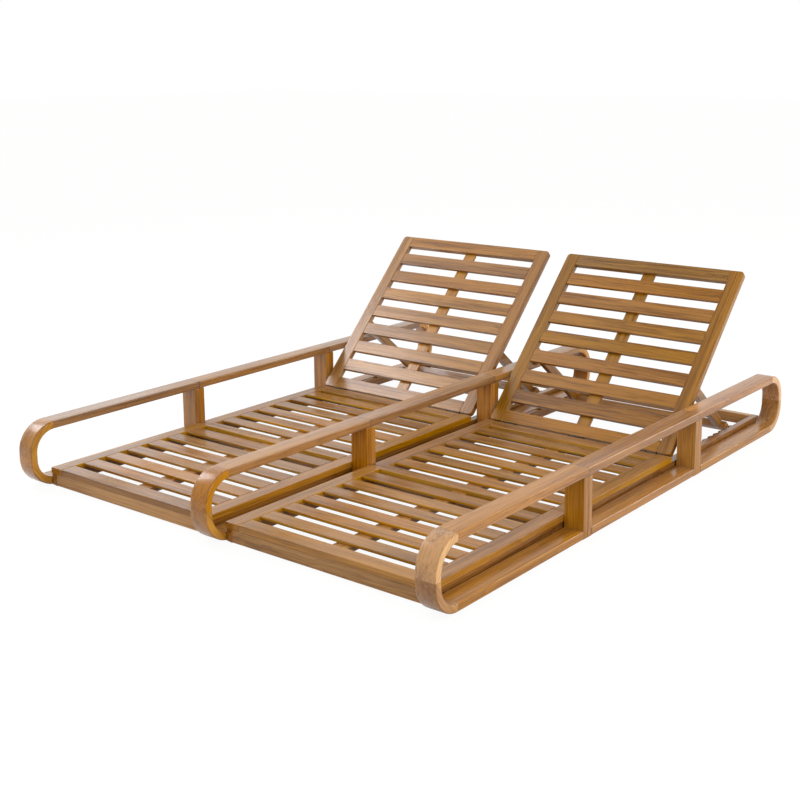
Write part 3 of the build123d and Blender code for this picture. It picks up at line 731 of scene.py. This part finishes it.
def planks(name, outlines, depth, seeds, wood, tone, place):
    # Boards of any outline, drawn flat with their grain along Y and then moved to their place
    mesh = bmesh.new()
    seedLayer = mesh.verts.layers.float.new("boardSeed")
    for outline, seed in zip(outlines, seeds):
        bottom, top = [[mesh.verts.new((*point, level)) for point in outline] for level in depth]
        mesh.faces.new(reversed(bottom))
        mesh.faces.new(top)
        for i in range(len(outline)):
            j = (i + 1) % len(outline)
            mesh.faces.new((bottom[i], bottom[j], top[j], top[i]))
        for vert in bottom + top:
            vert[seedLayer] = seed
    bmesh.ops.recalc_face_normals(mesh, faces=mesh.faces)
    data = bpy.data.meshes.new(name)
    mesh.to_mesh(data)
    mesh.free()
    data.shade_smooth()
    source = addObject(name, data)
    bevel = source.modifiers.new("edge", "BEVEL")
    bevel.width = back["edge"]
    bevel.segments = meshing["bevelSteps"]
    bevel.limit_method = "ANGLE"
    bevel.angle_limit = meshing["bevelAngle"]
    evenNormals(source)
    made = freeze(source, name)
    along = [number for vert in made.vertices for number in (vert.co.y, vert.co.x, vert.co.z)]
    made.attributes.new("boardPlace", "FLOAT_VECTOR", "POINT").data.foreach_set("vector", along)
    made.attributes.new("boardTone", "FLOAT", "POINT").data.foreach_set("value", [tone] * len(made.vertices))
    made.transform(place)
    made.materials.clear()
    made.materials.append(wood)
    return addObject(name, made)


def cornerArc(x, y, radius, start):
    steps = back["cornerSteps"]
    angles = [radians(start + 90 * i / steps) for i in range(steps + 1)]
    return [(x + radius * cos(angle), y + radius * sin(angle)) for angle in angles]


for n, (side, x) in enumerate(lounger["chaiseX"].items()):
    body = side + "_backrest"
    node = side + "_backrest_"
    timber = woods[back["woods"][side]]
    wood = {"Wood": timber, "Edge Radius": back["edge"]}
    tone = back["tones"][side]
    place = Matrix.Translation((x, lounger["hingeY"], lounger["deckTop"])) @ lean
    inner = back["half"] - back["stile"]
    start, top = back["start"], back["start"] + back["length"]
    low, high = start + back["bottomRail"], top - back["topRail"]
    slots = back["length"] - back["topRail"] - back["bottomRail"] - back["slats"] * back["slat"]
    slot = slots / (back["slats"] + 1)
    slatRow(side + "BackSlats", {
        **wood, "Count": back["slats"], "Start": tuple(place @ Vector((0, low + slot, 0))),
        "Direction": tuple(lean.to_3x3() @ Vector((0, 1, 0))), "Pitch": back["slat"] + slot,
        "Length": 2 * inner, "Width": back["slat"], "Last Width": back["slat"],
        "Thickness": back["slatBoard"], "Frame Thickness": back["slatBoard"],
        "Turn": leanTurn, "Tone": tone, "Seed": back["slatSeed"] + n,
    }, body, "backrest_wood", node + "slats")
    for part, bottom, above in (("Top", high, top), ("Bottom", start, low)):
        middle = place @ Vector((0, (bottom + above) / 2, -back["board"] / 2))
        size = (2 * inner, above - bottom, back["board"])
        rail = board(middle, size, leanTurn, boardSeed(back["railSeeds"][part], n), tone)
        replaced = node + part.lower() + "_rail"
        boardSet(side + "Back" + part + "Rail", [rail], wood, body, "backrest_wood", replaced)
    half, corner = back["half"], back["corner"]
    lowerArc = cornerArc(half - corner, start + corner, corner, -90)
    upperArc = cornerArc(half - corner, top - corner, corner, 0)
    outline = [(inner, start), *lowerArc, *upperArc, (inner, top)]
    outlines = [[(hand * across, up) for across, up in outline] for hand in (-1, 1)]
    seeds = [seed + n for seed in back["stileSeeds"]]
    stiles = planks(side + "BackStiles", outlines, (-back["board"], 0), seeds, timber, tone, place)
    settle(stiles, body, "backrest_wood", node + "stiles")
    middle = place @ Vector((0, (low + high) / 2, -back["slatBoard"] - back["battenBoard"] / 2))
    size = (high - low, back["batten"], back["battenBoard"])
    boardSet(side + "BackBatten", [board(middle, size, battenTurn, back["battenSeed"] + n)], {
        "Edge Radius": back["battenEdge"], "Wood": timber,
    }, body, "backrest_wood", node + "batten")
    dress(side + "_prop_blocks", woods["blockWood"])
    dress(side + "_prop_legs", woods["legWood"])
    dress(side + "_prop_crossbar", woods["crossWood"])
print("backrests made")


# Metal and glides

# Each finish goes on the solids whose names hold one of its words
fittings = {
    "hingeSteel": {
        "on": ("hinge",), "dark": (0.02, 0.018, 0.016, 1), "light": (0.11, 0.1, 0.09, 1),
        "span": (0.3, 0.7), "spots": 160.0, "detail": 4.0, "roughness": 0.45, "bump": 0.2, "metal": 1.0,
    },
    "boltSteel": {
        "on": ("bolts", "spacers"), "dark": (0.16, 0.155, 0.15, 1), "light": (0.36, 0.35, 0.34, 1),
        "span": (0.3, 0.7), "spots": 160.0, "detail": 4.0, "roughness": 0.34, "bump": 0.2, "metal": 1.0,
    },
    "glidePlastic": {
        "on": ("glides",), "dark": (0.012, 0.012, 0.013, 1), "light": (0.03, 0.03, 0.032, 1),
        "span": (0.0, 1.0), "spots": 900.0, "detail": 2.0, "roughness": 0.6, "bump": 0.3, "metal": 0.0,
    },
}
bumpDepth = 0.0002
roughnessChange = 0.2


def fittingMaterial(name, look):
    material, tree = newMaterial(name)
    spot = put(tree, "ShaderNodeTexCoord").outputs["Object"]
    noise = {"Vector": spot, "Scale": look["spots"], "Detail": look["detail"]}
    cloud = put(tree, "ShaderNodeTexNoise", noise).outputs[0]
    tone = put(tree, "ShaderNodeValToRGB", {"Fac": cloud})
    low, high = tone.color_ramp.elements
    low.position, high.position = look["span"]
    low.color, high.color = look["dark"], look["light"]
    bump = put(tree, "ShaderNodeBump", {"Height": cloud, "Strength": look["bump"], "Distance": bumpDepth})
    least = look["roughness"] - roughnessChange / 2
    shader = put(tree, "ShaderNodeBsdfPrincipled", {
        "Base Color": tone.outputs[0], "Roughness": calc(tree, "MULTIPLY_ADD", cloud, roughnessChange, least),
        "Metallic": look["metal"], "Normal": bump.outputs[0],
    })
    put(tree, "ShaderNodeOutputMaterial", {"Surface": shader.outputs[0]})
    return material


for finish, look in fittings.items():
    material = fittingMaterial(finish, look)
    for name in nodes:
        if any(word in name for word in look["on"]):
            dress(name, material)
print("metal ready")


# Studio

studio = {
    "cameraAt": (2.4457, -3.2005, 1.2921), "azimuth": 38.56, "elevation": 11.31, "roll": -0.38,
    "lens": 57.845, "sensor": 36.0, "shiftY": -0.11378,
    "sky": (1.0, 0.98, 0.95, 1), "low": 1.08, "high": 0.6, "darkFrom": 0.72, "darkTo": 0.88,
    "floor": (0.5, 0.475, 0.44, 1), "floorHalf": 30.0, "floorZ": -0.0006, "shadow": 0.07, "mirrored": 0.15,
}
white = (1, 1, 1, 1)

# Glow is the brightness of a softbox's face
softboxes = {
    "right": {
        "at": (4.2, -0.8, 1.7), "towards": (0.5, 0.0, 0.1), "wide": 4.5, "tall": 2.6,
        "colour": (1.0, 0.96, 0.9), "glow": 2.0,
    },
    "edge": {
        "at": (2.2, 3.6, 2.1), "towards": (0.6, 0.0, 0.1), "wide": 1.8, "tall": 1.1,
        "colour": (1.0, 0.98, 0.95), "glow": 7.0,
    },
    "side": {
        "at": (-3.0, 0.0, 2.6), "towards": (-0.2, 0.3, 0.4), "wide": 5.0, "tall": 4.0,
        "colour": (0.8, 0.9, 1.0), "glow": 0.85,
    },
    "glare": {
        "at": (-3.1, -1.0, 2.7), "towards": (-0.35, 0.45, 0.2), "wide": 1.5, "tall": 1.5,
        "colour": (0.92, 0.93, 1.0), "glow": 8.0,
    },
}


def softbox(name, box):
    data = bpy.data.lights.new(name, "AREA")
    data.shape = "RECTANGLE"
    data.size, data.size_y = box["wide"], box["tall"]
    data.color = box["colour"]
    data.energy = box["glow"] * pi * box["wide"] * box["tall"]
    lamp = addObject(name, data)
    aim = Vector(box["towards"]) - Vector(box["at"])
    lamp.matrix_world = Matrix.Translation(box["at"]) @ aim.to_track_quat("-Z", "Y").to_matrix().to_4x4()
    lamp.visible_camera = False


def studioCamera():
    data = bpy.data.cameras.new("view")
    data.sensor_fit = "HORIZONTAL"
    data.sensor_width = studio["sensor"]
    data.lens = studio["lens"]
    data.shift_y = studio["shiftY"]
    azimuth, elevation, roll = (radians(studio[key]) for key in ("azimuth", "elevation", "roll"))
    away = Vector((sin(azimuth) * cos(elevation), -cos(azimuth) * cos(elevation), sin(elevation)))
    right = Vector((cos(azimuth), sin(azimuth), 0))
    up = away.cross(right)
    right, up = cos(roll) * right + sin(roll) * up, -sin(roll) * right + cos(roll) * up
    camera = addObject("view", data)
    turn = Matrix((right, up, away)).transposed().to_4x4()
    camera.matrix_world = Matrix.Translation(studio["cameraAt"]) @ turn
    bpy.context.scene.camera = camera


def seenShares(tree):
    # Whether a ray comes straight from the camera, and whether it comes by a mirror or through glass
    path = put(tree, "ShaderNodeLightPath").outputs
    return path["Is Camera Ray"], calc(tree, "MAXIMUM", path["Is Glossy Ray"], path["Is Transmission Ray"])


def floorMaterial():
    # White where it is seen, apart from the shadow, and a warm grey for the light that it throws back
    material, tree = newMaterial("floorWhite")
    direct, mirrored = seenShares(tree)
    share = calc(tree, "MULTIPLY", direct, 1.0 - studio["shadow"])
    share = calc(tree, "MULTIPLY_ADD", mirrored, studio["mirrored"], share)
    tone = mixed(tree, "RGBA", calc(tree, "MAXIMUM", direct, mirrored), studio["floor"], white)
    matt = put(tree, "ShaderNodeBsdfDiffuse", {"Color": tone})
    glow = put(tree, "ShaderNodeEmission", {"Color": white, "Strength": 1.0})
    put(tree, "ShaderNodeOutputMaterial", {"Surface": mixShaders(tree, share, matt, glow)})
    return material


def studioFloor():
    data = bpy.data.meshes.new("floor")
    half = studio["floorHalf"]
    corners = [(x * half, y * half, studio["floorZ"]) for x, y in ((-1, -1), (1, -1), (1, 1), (-1, 1))]
    data.from_pydata(corners, [], [(0, 1, 2, 3)])
    data.materials.append(floorMaterial())
    addObject("floor", data)


def studioWorld():
    # A white room whose light falls off overhead, as under a dark ceiling
    world = bpy.data.worlds.new("studio")
    bpy.context.scene.world = world
    world.use_nodes = True
    tree = world.node_tree
    tree.nodes.clear()
    direct, mirrored = seenShares(tree)
    heading = split(tree, put(tree, "ShaderNodeTexCoord").outputs["Generated"])
    ceiling = {"Value": heading["Z"], "From Min": studio["darkFrom"], "From Max": studio["darkTo"]}
    overhead = put(tree, "ShaderNodeMapRange", ceiling, interpolation_type="SMOOTHSTEP").outputs[0]
    level = calc(tree, "MULTIPLY_ADD", overhead, studio["high"] - studio["low"], studio["low"])
    sky = put(tree, "ShaderNodeBackground", {"Color": studio["sky"], "Strength": level})
    plain = calc(tree, "MULTIPLY_ADD", overhead, studio["high"] - 1.0, 1.0)
    backdrop = put(tree, "ShaderNodeBackground", {"Color": white, "Strength": plain})
    seen = calc(tree, "MAXIMUM", direct, mirrored)
    put(tree, "ShaderNodeOutputWorld", {"Surface": mixShaders(tree, seen, sky, backdrop)})


studioCamera()
studioFloor()
studioWorld()
for name, box in softboxes.items():
    softbox(name + "Softbox", box)
bpy.context.scene.view_settings.view_transform = "Standard"
print("studio ready")
